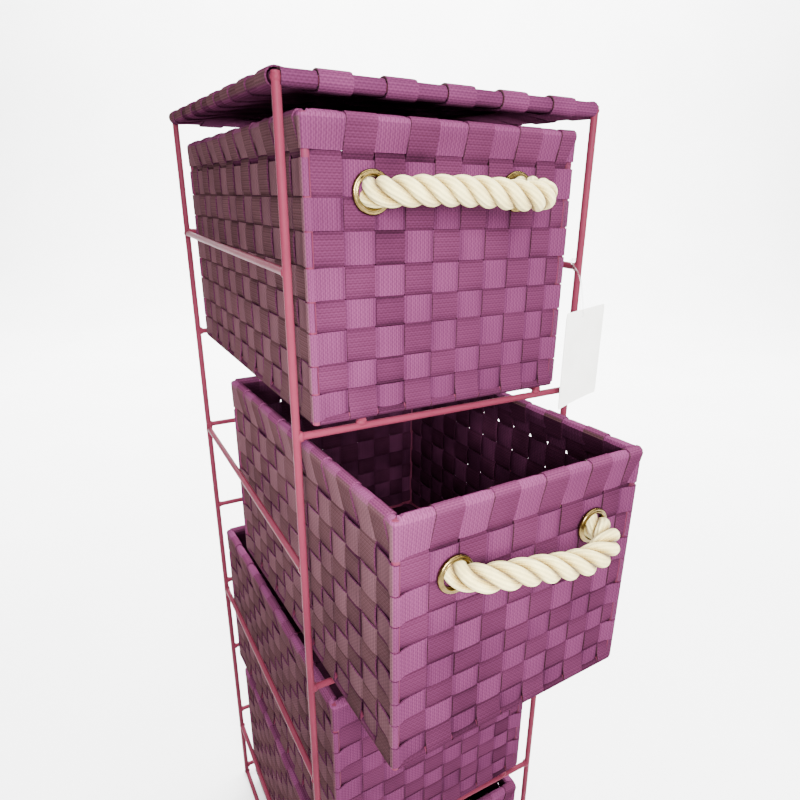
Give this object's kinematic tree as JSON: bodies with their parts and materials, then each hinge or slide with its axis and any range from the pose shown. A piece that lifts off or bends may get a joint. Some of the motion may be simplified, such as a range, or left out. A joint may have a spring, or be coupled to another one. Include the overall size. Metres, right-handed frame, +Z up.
{
  "type": "chest of drawers",
  "caption": "Narrow tower chest of drawers: a welded wire stand with a woven strap top, holding pull-out woven strap baskets with twisted rope handles.",
  "frame": {"origin": "floor point under the middle of the wire stand, on the plane of the post ends", "axes": "+Z up, +X to the right seen from the front, drawers open towards -Y"},
  "size_m": [0.2175, 0.3482, 0.655],
  "materials": {
    "stand_wire": "satin powder coat",
    "cage_wire": "satin powder coat",
    "woven_strap": "ribbed woven plastic strap",
    "brass": "polished",
    "rope": "soft twisted cotton",
    "card": "matt",
    "clear_nylon": "clear, moulded"
  },
  "bodies": {
    "stand": {"bottom_left_rail": "stand_wire", "bottom_right_rail": "stand_wire", "front_left_post": "stand_wire", "front_rail_1": "stand_wire", "front_rail_2": "stand_wire", "front_rail_3": "stand_wire", "front_rail_4": "stand_wire", "front_right_post": "stand_wire", "left_side_rail_1": "stand_wire", "left_side_rail_2": "stand_wire", "left_side_rail_3": "stand_wire", "left_side_rail_4": "stand_wire", "rear_left_post": "stand_wire", "rear_lower_rail_1": "stand_wire", "rear_lower_rail_2": "stand_wire", "rear_lower_rail_3": "stand_wire", "rear_lower_rail_4": "stand_wire", "rear_middle_rail_1": "stand_wire", "rear_middle_rail_2": "stand_wire", "rear_middle_rail_3": "stand_wire", "rear_middle_rail_4": "stand_wire", "rear_right_post": "stand_wire", "right_side_rail_1": "stand_wire", "right_side_rail_2": "stand_wire", "right_side_rail_3": "stand_wire", "right_side_rail_4": "stand_wire", "runner_pair_1": "stand_wire", "runner_pair_2": "stand_wire", "runner_pair_3": "stand_wire", "runner_pair_4": "stand_wire", "top_front_rail": "stand_wire", "top_left_rail": "stand_wire", "top_rear_rail": "stand_wire", "top_right_rail": "stand_wire", "woven_top": "woven_strap"},
    "drawer_1": {"drawer_1_eyelets": "brass", "drawer_1_rope_handle": "rope", "drawer_1_rope_knots": "rope", "drawer_1_wire_cage": "cage_wire", "drawer_1_woven_basket": "woven_strap"},
    "drawer_2": {"drawer_2_eyelets": "brass", "drawer_2_rope_handle": "rope", "drawer_2_rope_knots": "rope", "drawer_2_wire_cage": "cage_wire", "drawer_2_woven_basket": "woven_strap"},
    "drawer_3": {"drawer_3_eyelets": "brass", "drawer_3_rope_handle": "rope", "drawer_3_rope_knots": "rope", "drawer_3_wire_cage": "cage_wire", "drawer_3_woven_basket": "woven_strap"},
    "drawer_4": {"drawer_4_eyelets": "brass", "drawer_4_rope_handle": "rope", "drawer_4_rope_knots": "rope", "drawer_4_wire_cage": "cage_wire", "drawer_4_woven_basket": "woven_strap"},
    "swing_tag": {"swing_tag_card": "card", "swing_tag_loop": "clear_nylon"}
  },
  "joints": [
    {"name": "drawer_1_slide", "type": "slide", "parent": "stand", "child": "drawer_1", "axis": [0, -1, 0], "range_m": [0, 0.17]},
    {"name": "drawer_2_slide", "type": "slide", "parent": "stand", "child": "drawer_2", "axis": [0, -1, 0], "range_m": [-0.07, 0.1]},
    {"name": "drawer_3_slide", "type": "slide", "parent": "stand", "child": "drawer_3", "axis": [0, -1, 0], "range_m": [0, 0.17]},
    {"name": "drawer_4_slide", "type": "slide", "parent": "stand", "child": "drawer_4", "axis": [0, -1, 0], "range_m": [0, 0.17]},
    {"name": "swing_tag_swing", "type": "hinge", "parent": "stand", "child": "swing_tag", "pos_m": [0.09, -0.117, 0.5663], "axis": [-1, 0, 0], "range_deg": [0, 60]}
  ]
}
